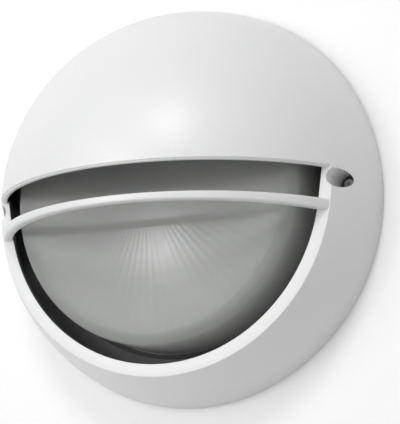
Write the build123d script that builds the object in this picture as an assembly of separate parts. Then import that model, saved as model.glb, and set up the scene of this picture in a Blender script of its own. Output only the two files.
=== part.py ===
from build123d import *
import os
from math import atan2, cos, degrees, radians, sin, sqrt, tan

# Outdoor wall light with a round eyelid cover, in millimetres.
# The lamp axis is Y. The wall is the plane y = 0 and the lamp stands out towards -Y,
# so a depth here is the distance in front of the wall, which is -y. Z is up.

# Cover
lamp_radius = 130.0          # radius of the domed cover at the wall
dome_depth = 117.0           # wall to the front of the dome
rim_gap = 1.5                # the cover stops this far in front of the wall
cover_wall = 3.2             # thickness of the cast wall
window_depth = 50.7          # wall to the flat window frame below the eyelid
frame_width = 7.6            # face of the window frame, from the dome inwards
frame_thick = 4.0            # thickness of the window frame plate
eyelid_height = 5.3          # lower edge of the eyelid above the lamp axis
lip_drop = 1.15              # the lip reaches this far below the edge of the eyelid
lip_step = 1.0               # and sits this far inside the dome surface
lip_height = 3.0
lip_thick = 3.0
lip_rounding = 0.5
bar_step = 0.4               # the crossbar sits this far inside the dome surface
bar_thick = 6.0
bar_rounding = 1.5
bar_drop = 14.9              # top of the crossbar below the lamp axis, at the window frame
bar_height = 6.3
bar_front_drop = 13.9        # the same two at the front of the dome, where the bar is slimmer
bar_front_height = 4.5
web_thick = 3.0              # inner web that the glass seats against

# Cover screws in their deep round recesses
screw_inset = 14.0           # screw axis inside the cover's outer radius
screw_drop = 1.6             # and below the lamp axis
recess_radius = 5.8
recess_floor_rise = 6.0      # recess floor above the end of its cast tube
recess_wall = 2.2
screw_radius = 2.0
screw_pitch = 0.7
screw_engaged_turns = 8
screw_head_radius = 3.8
screw_head_height = 3.2
screw_head_rounding = 1.3
screw_socket = 2.5           # across the flats of the hexagon socket
screw_socket_depth = 1.9
screw_washer_thick = 1.0
screw_hole_clearance = 0.3
thread_clearance = 0.1

# Glass diffuser
glass_depth = 66.0           # wall to the middle of the glass dome
glass_crown_rise = 4.0       # dome of the front face
glass_gap = 10.6             # window circle to the glass wall at its shoulder
glass_wall = 3.5
glass_shoulder = 8.0         # outer rounding of the shoulder
glass_draft = 2.0            # degrees
flange_width = 10.2
flange_thick = 4.0
gasket_thick = 1.5
gasket_collar = 2.4
gasket_collar_proud = 1.0
gasket_clearance = 0.9       # glass wall to the gasket, which clears the root fillet
glass_root_fillet = 0.7

# Clips that hold the glass in the cover
clip_count = 4
clip_first_angle = 45.0
clip_boss_radius = 3.6
clip_boss_gap = 0.9          # flange edge to the boss
clip_width = 9.0
clip_sheet = 1.2
clip_overlap = 3.2           # tongue over the edge of the flange
clip_screw_radius = 1.45
clip_screw_length = 5.5
clip_head_radius = 2.7
clip_head_height = 1.9

# Base
plate_thick = 3.0
base_clearance = 3.0         # base plate edge inside the cover
rim_height = 11.0            # wall to the top of the base rim
rim_thick = 4.0
rim_set_in = 4.5             # rim's outer side inside the flange edge
seal_width = 2.2
seal_groove = 1.5
seal_height = 3.5
seal_rounding = 0.9
seat_gap = 0.3               # rest gap between the base side and the cover side
cover_boss_radius = 5.5
cover_boss_height = 15.0
boss_rib_thick = 3.0
gasket_band = 6.0            # foam wall gasket in its rebate
gasket_rebate = 1.5
fixing_spacing_x = 110.0     # wall fixing holes
fixing_spacing_z = 190.0
fixing_hole_radius = 2.75
fixing_pad_radius = 6.0
fixing_pad_rise = 1.5
small_screw_radius = 1.45
small_head_radius = 2.8
small_head_height = 2.0
boss_radius = 4.0
screw_bite = 4.5             # length of a small screw inside its boss

# Cable entry
entry_x = -32.0
entry_from_rim = 26.0        # inside the base rim
entry_hole_radius = 6.9
cable_radius = 3.6
grommet_flange_radius = 9.0
grommet_flange = 1.1
grommet_nose = 4.0
push_fit = 0.1               # gap of seals, grommet, barrels and wires in their seats

# Reflector
reflector_sheet = 0.8
reflector_gap = 3.0          # glass wall to the reflector rim
reflector_flat_radius = 28.0
reflector_rise = 4.5         # flat of the reflector above the base plate
reflector_rim_rise = 16.5    # cone of the reflector, flat to rim
reflector_lip = 1.6          # turned-up edge of the cone
reflector_screw_x = 16.0
reflector_screw_z = 16.0
notch_wire_gap = 1.0         # cut-out round the lampholder, beside its wires
notch_from_axis = 38.0

# Lampholder and its bracket, with the bulb's axis along X
bulb_axis_depth = 32.0
bracket_sheet = 1.5
bracket_gap = 6.0            # glass wall to the bracket's upright
bracket_width = 34.0
bracket_foot = 26.0
bracket_foot_rise = 4.0      # foot above the base plate
bracket_screw_z = 9.0
bracket_screw_from_edge = 6.0
holder_radius = 19.0
holder_length = 39.0
holder_floor = 11.0
holder_mouth_wall = 3.6
holder_screw_z = 10.0
holder_screw_bite = 7.0
holder_chamfer = 2.0
holder_wire_angle = 60.0     # wires enter this far round from the wall side
holder_wire_depth = 3.0      # wire inside the porcelain
live_wire_x = 7.0            # wire entries in front of the holder's back
neutral_wire_x = 16.0
shell_wall = 0.5
shell_pitch = 3.629
shell_wave = 0.45
shell_turns = 6
cap_radius = 13.0            # over the crests of the bulb cap's thread
cap_clearance = 0.3
contact_sheet = 0.6
contact_width = 6.0
contact_rise = 1.6
contact_gap = 0.3            # spring contact to the tip of the bulb
contact_foot = 3.5           # foot of the strip on the holder's floor
contact_flat = 5.4           # length of its raised flat

# Bulb
bulb_length = 78.0
bulb_radius = 22.5
bulb_glass = 1.0
bulb_neck_radius = 12.0
cap_length = 22.5
cap_sheet = 0.5
insulator_length = 3.0
insulator_tip_radius = 5.0
insulator_base_radius = 11.0
tip_radius = 4.5
tip_length = 1.5
stem_radius = 3.5
stem_length = 24.0
stem_tip_radius = 2.1
filament_radius = 0.4
filament_span = 16.0
filament_sag = 3.0
filament_post_radius = 0.5

# Terminal block, earth terminal and internal wires
block_length = 28.0
block_width = 16.0
block_height = 11.0
block_low_height = 6.0       # web of the block between its humps
hump_wall = 1.1
hump_set_back = 0.25
hump_corner = 1.5
block_x = 5.0
block_from_rim = 30.5        # block's middle inside the base rim
pole_pitch = 8.5
pole_count = 3
barrel_radius = 2.6
barrel_bore = 1.5
barrel_length = 14.0
barrel_height = 5.0          # barrel axis above the base plate
clamp_screw_radius = 1.4
clamp_screw_offset = 4.0
clamp_screw_recess = 1.0
clamp_slot_width = 0.5
block_screw_sunk = 0.5
block_screw_bite = 2.2
earth_x = 46.0
earth_z = 44.0
earth_boss_rise = 2.5
earth_screw_radius = 2.0
earth_head_radius = 3.8
earth_head_height = 2.6
earth_washer_thick = 0.8
lug_radius = 4.2
lug_sheet = 0.8
lug_barrel_radius = 1.9
lug_barrel_length = 6.0
lug_barrel_from_hole = 5.6
wire_radius = 1.2

# Dome geometry that everything else hangs on
sphere_radius = (lamp_radius**2 + dome_depth**2) / (2 * dome_depth)
sphere_behind = sphere_radius - dome_depth
inner_sphere_radius = sphere_radius - cover_wall


def circle_at(ball_radius, depth):
    """Radius of the dome's section at one depth, for a ball on the dome's centre."""
    return sqrt(ball_radius**2 - (sphere_behind + depth) ** 2)


# Depths of the stack between the base and the cover's web
flange_back = rim_height - seal_groove + seal_height + seat_gap
flange_front = flange_back + flange_thick
web_back = flange_front + gasket_thick
web_front = web_back + web_thick
tube_end = cover_boss_height + seat_gap
recess_floor = tube_end + recess_floor_rise
screw_seat = recess_floor + screw_washer_thick
screw_lift = screw_pitch * screw_engaged_turns
screw_tip = cover_boss_height - screw_lift - 2 * screw_pitch

# Radii from the cover inwards
screw_axis = lamp_radius - screw_inset
frame_back = window_depth - frame_thick
frame_outer_radius = circle_at(sphere_radius, window_depth)
window_radius = frame_outer_radius - frame_width
shoulder_radius = window_radius - glass_gap
glass_shoulder_depth = glass_depth - glass_crown_rise
glass_root_radius = shoulder_radius + (glass_shoulder_depth - flange_front) * tan(radians(glass_draft))
glass_inner_radius = shoulder_radius - glass_wall
flange_radius = glass_root_radius + flange_width
web_hole_radius = glass_root_radius + gasket_clearance + gasket_collar + thread_clearance
clip_axis = flange_radius + clip_boss_gap + clip_boss_radius
rim_radius = flange_radius - rim_set_in
rim_inner_radius = rim_radius - rim_thick
base_radius = circle_at(inner_sphere_radius, plate_thick) - base_clearance
reflector_radius = glass_inner_radius - reflector_gap

# Places of the parts inside
reflector_back = plate_thick + reflector_rise
foot_back = plate_thick + bracket_foot_rise
foot_front = foot_back + bracket_sheet
upright_x = -(glass_inner_radius - bracket_gap)
holder_back_x = upright_x + bracket_sheet
holder_mouth_x = holder_back_x + holder_length
floor_x = holder_back_x + holder_floor
tip_x = floor_x + contact_rise + contact_gap
shell_inner_radius = cap_radius + cap_clearance
bracket_screw_x = holder_back_x + bracket_foot - bracket_screw_from_edge
entry_z = sqrt((rim_inner_radius - entry_from_rim) ** 2 - entry_x**2)
block_z = rim_inner_radius - block_from_rim
barrel_depth = plate_thick + barrel_height
block_front = plate_thick + block_height
block_screw_seat = block_front - small_head_height - block_screw_sunk
block_screw_tip = plate_thick - block_screw_bite
earth_seat = plate_thick + earth_boss_rise

bulb_axis = Axis((0, -bulb_axis_depth, 0), (1, 0, 0))
turning_plane = Plane(origin=(0, 0, 0), x_dir=(1, 0, 0), z_dir=(0, 0, -1))


def front_plane(depth):
    """Plane parallel to the wall at one depth, facing out, with X across and Z up."""
    return Plane(origin=(0, -depth, 0), x_dir=(1, 0, 0), z_dir=(0, -1, 0))


def raised(sketch, depth, height):
    """A flat outline raised from one depth towards the front."""
    return extrude(front_plane(depth) * sketch, amount=height)


def post(x, z, radius, depth_from, depth_to):
    """A round post or drill parallel to the lamp axis."""
    return raised(Pos(x, z) * Circle(radius), depth_from, depth_to - depth_from)


def turned(points):
    """Solid turned on the lamp axis from points of radius and depth."""
    return revolve(turning_plane * make_face(Polyline(*points, close=True)), axis=Axis.Y)


def ring(inner, outer, depth_from, depth_to):
    """Flat ring on the lamp axis."""
    return raised(Circle(outer) - Circle(inner), depth_from, depth_to - depth_from)


def bulb_turned(points):
    """Solid turned on the bulb's axis from points of X and radius."""
    return revolve(front_plane(bulb_axis_depth) * make_face(Polyline(*points, close=True)), axis=bulb_axis)


def ball(radius):
    """Ball on the centre of the dome."""
    return Pos(0, sphere_behind, 0) * Sphere(radius)


def around(part, count, first_angle):
    """Copies of a part turned about the lamp axis."""
    step = 360 / count
    return [part.rotate(Axis.Y, first_angle + step * i) for i in range(count)]


def pan_screw(radius, length, head_radius=small_head_radius, head_height=small_head_height):
    """Pan-head screw along +Z, head on top of z = 0, with a cross recess."""
    rounding = 0.45 * head_height
    recess_depth = 0.6 * head_height
    slot_length = 1.1 * head_radius
    slot_width = 0.28 * head_radius
    head = extrude(Circle(head_radius), amount=head_height)
    head = fillet(head.edges().group_by(Axis.Z)[-1], rounding)
    shank = extrude(Circle(radius), amount=-length)
    cross = Rectangle(slot_length, slot_width) + Rectangle(slot_width, slot_length)
    recess = Pos(0, 0, head_height) * extrude(cross, amount=-recess_depth)
    return head + shank - recess


def facing_front(x, z, depth):
    """Place for a part made along +Z that should point out from the wall."""
    return Plane(origin=(x, -depth, z), x_dir=(1, 0, 0), z_dir=(0, -1, 0))


def in_front_of(depth):
    """Block that holds everything in front of one depth."""
    return raised(Rectangle(3 * lamp_radius, 3 * lamp_radius), depth, dome_depth)


def below(height):
    """Flat area that holds everything below one height, seen from the front."""
    return Pos(0, height - lamp_radius) * Rectangle(3 * lamp_radius, 2 * lamp_radius)


def make_lip():
    """Level hoop inside the lower edge of the eyelid, cut off in the window frame."""
    middle_z = eyelid_height - lip_drop + lip_height / 2
    crown = sqrt((sphere_radius - lip_step) ** 2 - middle_z**2)
    section = Pos(crown - lip_thick / 2, middle_z) * RectangleRounded(lip_thick, lip_height, lip_rounding)
    upright = Axis((0, sphere_behind, 0), (0, 0, 1))
    band = revolve(front_plane(-sphere_behind) * section, axis=upright)
    return band & in_front_of(frame_back)


def make_crossbar():
    """Bar that follows the dome across the opening and is slimmer towards the front."""

    def bar_face(at_frame, at_front):
        """Height where one straight face of the bar enters the back of the window frame."""
        return at_frame - (at_front - at_frame) * frame_thick / (dome_depth - window_depth)

    bottom = -bar_drop - bar_height
    front_bottom = -bar_front_drop - bar_front_height
    outline = Polyline(
        (frame_back, bar_face(-bar_drop, -bar_front_drop)),
        (dome_depth, -bar_front_drop),
        (dome_depth, front_bottom),
        (frame_back, bar_face(bottom, front_bottom)),
        close=True,
    )
    side_plane = Plane(origin=(0, 0, 0), x_dir=(0, -1, 0), z_dir=(-1, 0, 0))
    wedge = extrude(side_plane * make_face(outline), amount=lamp_radius, both=True)
    outer = sphere_radius - bar_step
    bar = (ball(outer) - ball(outer - bar_thick)) & wedge
    long_edges = bar.edges().sort_by(SortBy.LENGTH)[-4:]
    return fillet(long_edges, bar_rounding)


def make_window():
    """Outline of the opening in the frame: round below the bar, then straight and flaring to the eyelid."""
    side_x = sqrt(window_radius**2 - bar_drop**2)
    flare = bar_drop / side_x
    top_z = eyelid_height + lip_height
    top_x = side_x + flare * (top_z + bar_drop)
    upper = Polyline((-side_x, -bar_drop), (-top_x, top_z), (top_x, top_z), (side_x, -bar_drop), close=True)
    return (Circle(window_radius) & below(-bar_drop)) + make_face(upper)


def make_front_cover():
    """One casting: dome with eyelid, window frame, lip, crossbar, glass web and bosses."""
    shell = (ball(sphere_radius) - ball(inner_sphere_radius)) & in_front_of(rim_gap)
    shell -= raised(below(eyelid_height), window_depth, dome_depth)
    plate = (Circle(frame_outer_radius) & below(eyelid_height)) - make_window()
    cover = shell + raised(plate, frame_back, frame_thick) + make_crossbar() + make_lip()

    web = ring(web_hole_radius, lamp_radius, web_back, web_front)
    cover += web & ball(inner_sphere_radius + cover_wall / 2)
    for side in (-1, 1):
        tube = post(side * screw_axis, -screw_drop, recess_radius + recess_wall, tube_end, window_depth)
        cover += tube & ball(sphere_radius)
    clip_boss = post(clip_axis, 0, clip_boss_radius, flange_back + clip_sheet, web_back)
    for boss in around(clip_boss, clip_count, clip_first_angle):
        cover += boss

    for side in (-1, 1):
        place = (side * screw_axis, -screw_drop)
        cover -= post(*place, recess_radius, recess_floor, dome_depth)
        cover -= post(*place, screw_radius + screw_hole_clearance, 0, recess_floor)
    boss_mouth = flange_back + clip_sheet
    pilot_radius = clip_screw_radius + thread_clearance
    pilot = post(clip_axis, 0, pilot_radius, boss_mouth, boss_mouth + clip_screw_length)
    for hole in around(pilot, clip_count, clip_first_angle):
        cover -= hole
    return cover


def glass_profile(crown_depth, rounding, front_radius, foot_radius):
    """Half outline of the glass bowl, from the axis out to the wall and down to its foot."""
    shoulder_depth = crown_depth - glass_crown_rise
    half = Polyline(
        (front_radius, shoulder_depth),
        (foot_radius, flange_back),
        (0, flange_back),
        (0, crown_depth),
    )
    crown = ThreePointArc(
        (0, crown_depth),
        (front_radius * 0.5, crown_depth - glass_crown_rise * 0.25),
        (front_radius, shoulder_depth),
    )
    face = make_face([half, crown])
    corner = face.vertices().sort_by_distance((front_radius, shoulder_depth, 0))[0]
    return fillet(corner, rounding)


def make_glass_diffuser():
    """Pressed glass bowl with a flat flange at its foot."""
    outer = glass_profile(glass_depth, glass_shoulder, shoulder_radius, glass_root_radius)
    inner_foot = glass_root_radius - glass_wall
    inner_round = glass_shoulder - glass_wall
    inner = glass_profile(glass_depth - glass_wall, inner_round, glass_inner_radius, inner_foot)
    flange = post(0, 0, flange_radius, flange_back, flange_front)
    bowl = revolve(turning_plane * outer, axis=Axis.Y) + flange
    rings = bowl.edges().filter_by(GeomType.CIRCLE)
    root = rings.sort_by_distance((glass_root_radius, -flange_front, 0))[0]
    bowl = fillet(root, glass_root_fillet)
    return bowl - revolve(turning_plane * inner, axis=Axis.Y)


def make_glass_gasket():
    """Rubber ring between the flange and the web, with a collar up round the glass."""
    inside = glass_root_radius + gasket_clearance
    flat = ring(inside, flange_radius, flange_front, web_back)
    collar = ring(inside, inside + gasket_collar, flange_front, web_front + gasket_collar_proud)
    return flat + collar


def make_glass_clip():
    """Joggled sheet clip, screwed to its boss, with a tongue behind the flange."""
    outer_end = clip_axis + clip_boss_radius
    step_at = flange_radius + clip_sheet
    tongue_end = flange_radius - clip_overlap
    low = flange_back - clip_sheet
    top = flange_back + clip_sheet
    outline = [
        (outer_end, flange_back),
        (outer_end, top),
        (step_at - clip_sheet / 2, top),
        (step_at - clip_sheet, flange_back),
        (tongue_end, flange_back),
        (tongue_end, low),
        (step_at, low),
        (step_at, flange_back),
    ]
    side = make_face(Polyline(*outline, close=True))
    strip = extrude(turning_plane * side, amount=clip_width / 2, both=True)
    return strip - post(clip_axis, 0, clip_screw_radius + 2 * thread_clearance, low, top)


def make_clip_screw():
    """Screw that enters its boss from the wall side."""
    screw = pan_screw(clip_screw_radius, clip_screw_length, clip_head_radius, clip_head_height)
    return Plane(origin=(clip_axis, -flange_back, 0), x_dir=(1, 0, 0), z_dir=(0, 1, 0)) * screw


def make_wall_base():
    """Cast base plate with the sealing rim, bosses, fixing holes and cable entry."""
    base = post(0, 0, base_radius, 0, plate_thick)
    base += ring(rim_inner_radius, rim_radius, plate_thick, rim_height)
    for side in (-1, 1):
        base += post(side * screw_axis, -screw_drop, cover_boss_radius, plate_thick, cover_boss_height)
        rib_start = rim_radius - rim_thick / 2
        rib = Rectangle(screw_axis - rib_start, boss_rib_thick)
        rib = Pos(side * (rib_start + screw_axis) / 2, -screw_drop) * rib
        base += raised(rib, plate_thick, rim_height - plate_thick)
        base += post(reflector_screw_x, side * reflector_screw_z, boss_radius, plate_thick, reflector_back)
        base += post(bracket_screw_x, side * bracket_screw_z, boss_radius, plate_thick, foot_back)
    base += post(earth_x, earth_z, boss_radius, plate_thick, earth_seat)
    fixings = [(x, z) for x in (-0.5, 0.5) for z in (-0.5, 0.5)]
    for x, z in fixings:
        place = (x * fixing_spacing_x, z * fixing_spacing_z)
        base += post(*place, fixing_pad_radius, plate_thick, plate_thick + fixing_pad_rise)

    base -= ring(base_radius - gasket_band, lamp_radius, 0, gasket_rebate)
    groove_middle = (rim_radius + rim_inner_radius) / 2
    groove_half = seal_width / 2 + push_fit
    groove_bottom = rim_height - seal_groove
    base -= ring(groove_middle - groove_half, groove_middle + groove_half, groove_bottom, rim_height)
    for x, z in fixings:
        place = (x * fixing_spacing_x, z * fixing_spacing_z)
        base -= post(*place, fixing_hole_radius, 0, plate_thick + fixing_pad_rise)
    pilot = small_screw_radius + thread_clearance
    pilot_length = screw_bite + thread_clearance
    for side in (-1, 1):
        place = (side * screw_axis, -screw_drop)
        base -= post(*place, screw_radius + thread_clearance, plate_thick, cover_boss_height)
        for x, z, top in (
            (reflector_screw_x, reflector_screw_z, reflector_back),
            (bracket_screw_x, bracket_screw_z, foot_back),
        ):
            base -= post(x, side * z, pilot, top - pilot_length, top)
    earth_bottom = earth_seat - screw_bite
    base -= post(earth_x, earth_z, earth_screw_radius + thread_clearance, earth_bottom, earth_seat)
    base -= post(block_x + pole_pitch / 2, block_z, pilot, block_screw_tip, plate_thick)
    base -= post(entry_x, entry_z, entry_hole_radius + push_fit, 0, plate_thick)
    base -= post(entry_x, entry_z, grommet_flange_radius + push_fit, 0, grommet_flange + push_fit)
    return base


def make_wall_gasket():
    """Foam ring that fills the rebate round the back of the base."""
    return ring(base_radius - gasket_band, base_radius, 0, gasket_rebate)


def make_base_seal():
    """Silicone cord in the groove of the base rim, under the glass flange."""
    middle = (rim_radius + rim_inner_radius) / 2
    bottom = rim_height - seal_groove
    seal = ring(middle - seal_width / 2, middle + seal_width / 2, bottom, bottom + seal_height)
    crest = seal.edges().group_by(Axis.Y)[0]
    return fillet(crest, seal_rounding)


def make_cable_grommet():
    """Rubber grommet of the cable entry, buttoned into the base plate, with a tapered nose."""
    nose_start = plate_thick + grommet_flange
    points = [
        (cable_radius, push_fit),
        (grommet_flange_radius, push_fit),
        (grommet_flange_radius, grommet_flange),
        (entry_hole_radius, grommet_flange),
        (entry_hole_radius, plate_thick),
        (grommet_flange_radius, plate_thick),
        (grommet_flange_radius, nose_start),
        (cable_radius + 2 * grommet_flange, nose_start),
        (cable_radius + grommet_flange, nose_start + grommet_nose),
        (cable_radius, nose_start + grommet_nose),
    ]
    return Pos(entry_x, 0, entry_z) * turned(points)


def notch_half_width():
    """Half the height of the reflector's cut-out, clear of the wires that rise through it."""
    slope = reflector_rim_rise / (reflector_radius - reflector_flat_radius)
    sheet_depth = reflector_back + slope * (-holder_back_x - neutral_wire_x - reflector_flat_radius)
    angle = radians(holder_wire_angle)
    return (bulb_axis_depth - sheet_depth) * tan(angle) + wire_radius / cos(angle) + notch_wire_gap


def make_reflector():
    """White sheet-metal cone with a flat middle and a cut-out for the lampholder."""
    front = reflector_back + reflector_sheet
    rim_back = reflector_back + reflector_rim_rise
    points = [
        (0, reflector_back),
        (reflector_flat_radius, reflector_back),
        (reflector_radius, rim_back),
        (reflector_radius, rim_back + reflector_lip),
        (reflector_radius - reflector_sheet, rim_back + reflector_lip),
        (reflector_radius - reflector_sheet, rim_back + reflector_sheet),
        (reflector_flat_radius, front),
        (0, front),
    ]
    dish = turned(points)
    notch_length = reflector_radius
    notch = Pos(-notch_from_axis - notch_length / 2, 0) * Rectangle(notch_length, 2 * notch_half_width())
    dish -= raised(notch, 0, rim_back + window_depth)
    for side in (-1, 1):
        hole = small_screw_radius + 2 * thread_clearance
        dish -= post(reflector_screw_x, side * reflector_screw_z, hole, reflector_back, front)
    return dish


def make_reflector_screws():
    """Two screws through the reflector into the base."""
    screw = pan_screw(small_screw_radius, screw_bite + reflector_sheet)
    front = reflector_back + reflector_sheet
    return [facing_front(reflector_screw_x, side * reflector_screw_z, front) * screw for side in (-1, 1)]


def make_lampholder_bracket():
    """Folded steel bracket: a foot on two bosses and an upright that carries the lampholder."""
    foot_length = bracket_foot + bracket_sheet
    foot = Pos(upright_x + foot_length / 2, 0) * Rectangle(foot_length, bracket_width)
    upright = Pos(upright_x + bracket_sheet / 2, 0) * Rectangle(bracket_sheet, bracket_width)
    bracket = raised(foot, foot_back, bracket_sheet)
    bracket += raised(upright, foot_back, bulb_axis_depth + holder_radius - foot_back)
    outer_corner = bracket.edges().filter_by(Axis.Z).group_by(Axis.X)[0].sort_by(Axis.Y)[-1]
    bracket = fillet(outer_corner, bracket_sheet)
    for side in (-1, 1):
        hole = small_screw_radius + 2 * thread_clearance
        bracket -= post(bracket_screw_x, side * bracket_screw_z, hole, foot_back, foot_front)
        across = Plane(origin=(upright_x, -bulb_axis_depth, side * holder_screw_z), z_dir=(1, 0, 0))
        bracket -= extrude(across * Circle(hole), amount=bracket_sheet)
    return bracket


def make_bracket_screws():
    """Two screws through the bracket's foot into the base."""
    screw = pan_screw(small_screw_radius, screw_bite + bracket_sheet)
    return [facing_front(bracket_screw_x, side * bracket_screw_z, foot_front) * screw for side in (-1, 1)]


def holder_wire_point(x, height):
    """Point on the line of a wire entry, at one height above the lampholder's surface."""
    reach = holder_radius + height
    angle = radians(holder_wire_angle)
    return (holder_back_x + x, -bulb_axis_depth + reach * cos(angle), reach * sin(angle))


def make_lampholder_body():
    """Porcelain lampholder, open towards the bulb."""
    cavity = shell_inner_radius + shell_wave + shell_wall + thread_clearance
    body = bulb_turned([
        (holder_back_x, 0),
        (holder_back_x, holder_radius - holder_chamfer),
        (holder_back_x + holder_chamfer, holder_radius),
        (holder_mouth_x - holder_chamfer, holder_radius),
        (holder_mouth_x, cavity + holder_mouth_wall),
        (holder_mouth_x, cavity),
        (floor_x, cavity),
        (floor_x, 0),
    ])
    for side in (-1, 1):
        start = Plane(origin=(holder_back_x, -bulb_axis_depth, side * holder_screw_z), z_dir=(1, 0, 0))
        pilot = Circle(small_screw_radius + thread_clearance)
        body -= extrude(start * pilot, amount=holder_screw_bite + thread_clearance)
    wire_bore = Circle(wire_radius + push_fit)
    for x in (live_wire_x, neutral_wire_x):
        inner = Vector(*holder_wire_point(x, -holder_wire_depth - push_fit))
        outer = Vector(*holder_wire_point(x, holder_radius))
        body -= extrude(Plane(origin=inner, z_dir=outer - inner) * wire_bore, amount=holder_radius)
    return body


def wavy_line(start_x, radius, wave, pitch, turns):
    """Points of a rolled thread's outline, half a pitch apart, along the bulb's axis."""
    return [(start_x + pitch * i / 2, radius + wave * (i % 2)) for i in range(2 * turns + 1)]


def make_lampholder_shell():
    """Brass screw shell of the lampholder, with a flange on its floor."""
    start = floor_x + shell_wall
    wave = wavy_line(start, shell_inner_radius, shell_wave, shell_pitch, shell_turns)
    inside = [(floor_x, insulator_base_radius)] + [(start, insulator_base_radius)] + wave
    end_x = wave[-1][0]
    outer = shell_inner_radius + shell_wave + shell_wall
    outside = [(end_x, outer), (floor_x, outer)]
    return bulb_turned(inside + outside)


def make_lampholder_contact():
    """Spring strip on the floor of the lampholder that meets the tip of the bulb."""
    flat_top = contact_flat / 2
    foot_top = -tip_radius
    foot_bottom = foot_top - contact_foot
    under = floor_x + contact_rise - contact_sheet
    outline = [
        (floor_x, foot_bottom),
        (floor_x + contact_sheet, foot_bottom),
        (floor_x + contact_rise, -flat_top),
        (floor_x + contact_rise, flat_top),
        (under, flat_top),
        (under, -flat_top),
        (floor_x + contact_sheet, foot_top),
        (floor_x, foot_top),
    ]
    strip = make_face(Polyline(*outline, close=True))
    return extrude(front_plane(bulb_axis_depth) * strip, amount=contact_width / 2, both=True)


def make_lampholder_screws():
    """Two screws from behind the bracket's upright into the lampholder."""
    screw = pan_screw(small_screw_radius, holder_screw_bite + bracket_sheet)
    seats = [(upright_x, -bulb_axis_depth, side * holder_screw_z) for side in (-1, 1)]
    return [Plane(origin=seat, x_dir=(0, 0, 1), z_dir=(-1, 0, 0)) * screw for seat in seats]


# Stations of the bulb along its axis, from the tip contact outwards
insulator_x = tip_x + tip_length
cap_x = insulator_x + insulator_length
cap_end_x = cap_x + cap_length
bulb_end_x = tip_x + bulb_length
bulb_centre_x = bulb_end_x - bulb_radius


def make_bulb_cap():
    """Rolled screw cap of the bulb."""
    root = cap_radius - shell_wave
    thread = wavy_line(cap_x + cap_sheet, root, shell_wave, shell_pitch, shell_turns - 1)
    bore = bulb_neck_radius + thread_clearance
    floor_end = cap_x + 2 * cap_sheet
    floor_hole = 2 * stem_radius
    outside = [(cap_x, insulator_base_radius), (cap_x + cap_sheet, insulator_base_radius)] + thread
    collar = [(cap_end_x, cap_radius + shell_wave / 2), (cap_end_x, bore)]
    return bulb_turned(outside + collar + [(floor_end, bore), (floor_end, floor_hole), (cap_x, floor_hole)])


def make_bulb_insulator():
    """Black glass cone between the cap and the tip contact."""
    return bulb_turned([
        (insulator_x, 0),
        (insulator_x, insulator_tip_radius),
        (cap_x, insulator_base_radius),
        (cap_x, 0),
    ])


def make_bulb_contact():
    """Round solder tip of the bulb."""
    slope = tip_length / 2
    return bulb_turned([
        (tip_x, 0),
        (tip_x, tip_radius - 2 * slope),
        (tip_x + slope, tip_radius),
        (insulator_x, tip_radius),
        (insulator_x, 0),
    ])


def envelope_face(radius, neck):
    """Half outline of the round envelope and its neck, grown or shrunk by its wall."""
    neck_start = cap_x + 3 * cap_sheet
    meet = bulb_centre_x - sqrt(radius**2 - neck**2)
    arc = ThreePointArc((meet, neck), (bulb_centre_x, radius), (bulb_centre_x + radius, 0))
    rest = Polyline((bulb_centre_x + radius, 0), (neck_start, 0), (neck_start, neck), (meet, neck))
    return make_face([arc, rest])


def make_bulb_envelope():
    """Hollow glass envelope with a cylindrical neck inside the cap."""
    outer = envelope_face(bulb_radius, bulb_neck_radius)
    inner = envelope_face(bulb_radius - bulb_glass, bulb_neck_radius - bulb_glass)
    plane = front_plane(bulb_axis_depth)
    return revolve(plane * outer, axis=bulb_axis) - revolve(plane * inner, axis=bulb_axis)


def make_bulb_stem():
    """Glass stem that carries the filament posts, sealed in the neck."""
    foot_x = cap_x + 3 * cap_sheet
    stem_end = foot_x + stem_length
    stem = bulb_turned([
        (foot_x, 0),
        (foot_x, bulb_neck_radius - bulb_glass),
        (foot_x + bulb_glass, bulb_neck_radius - bulb_glass),
        (foot_x + stem_radius, stem_radius),
        (stem_end, stem_tip_radius),
        (stem_end, 0),
    ])
    plane = front_plane(bulb_axis_depth)
    for side in (-1, 1):
        start = (stem_end - stem_radius, side * stem_tip_radius / 2)
        post_line = Line(start, (bulb_centre_x, side * filament_span / 2))
        path = plane * post_line
        profile = Plane(origin=path @ 0, z_dir=path % 0) * Circle(filament_post_radius)
        stem += sweep(profile, path=path)
    return stem


def make_bulb_filament():
    """Coiled filament, as one bowed rod between its two posts."""
    start_x = bulb_centre_x + filament_post_radius + filament_radius + thread_clearance
    half = filament_span / 2
    bow = ThreePointArc((start_x, -half), (start_x + filament_sag, 0), (start_x, half))
    path = front_plane(bulb_axis_depth) * bow
    profile = Plane(origin=path @ 0, z_dir=path % 0) * Circle(filament_radius)
    return sweep(profile, path=path)


def pole_places():
    """X of each pole of the terminal block."""
    first = block_x - pole_pitch * (pole_count - 1) / 2
    return [first + pole_pitch * i for i in range(pole_count)]


def along_z(x, depth, radius, z_from, z_to):
    """Round bar or drill that runs up the wall, parallel to Z."""
    plane = Plane(origin=(x, -depth, z_from), x_dir=(1, 0, 0), z_dir=(0, 0, 1))
    return extrude(plane * Circle(radius), amount=z_to - z_from)


def clamp_screw_places():
    """Places of the wire clamp screws, two on each pole."""
    return [(x, block_z + end * clamp_screw_offset) for x in pole_places() for end in (-1, 1)]


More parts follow.
